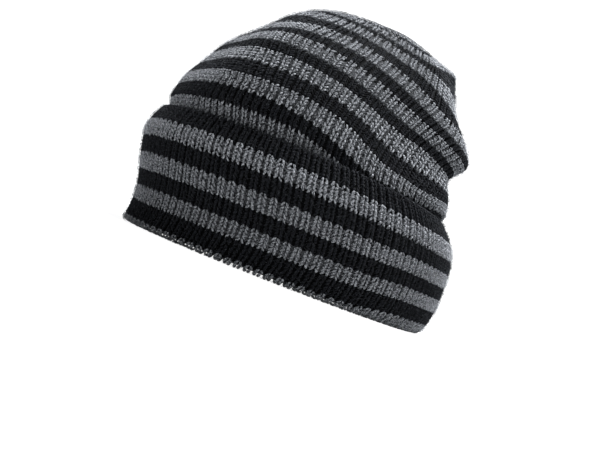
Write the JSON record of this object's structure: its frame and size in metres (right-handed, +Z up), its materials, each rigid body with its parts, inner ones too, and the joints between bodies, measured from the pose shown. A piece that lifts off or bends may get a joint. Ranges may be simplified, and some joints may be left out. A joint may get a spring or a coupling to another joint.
{
  "type": "cuffed knit beanie",
  "caption": "Ribbed knit beanie in dark grey and black stripes, with a slack folded crown over a deep turned-up cuff, open below for the head.",
  "frame": {"origin": "on the surface that the hat rests on, at the centre of its bounding box seen from above", "axes": "+Z up from the rim to the top of the crown, -Y the front over the forehead, +X the wearer's left"},
  "size_m": [0.169, 0.217, 0.1718],
  "materials": {
    "crown_knit": "matte ribbed knit of marled grey yarn and black yarn in stripes",
    "cuff_knit": "matte ribbed knit of marled grey yarn and black yarn in stripes, turned up double"
  },
  "bodies": {
    "root": {"crown": "crown_knit", "cuff": "cuff_knit"}
  },
  "joints": []
}
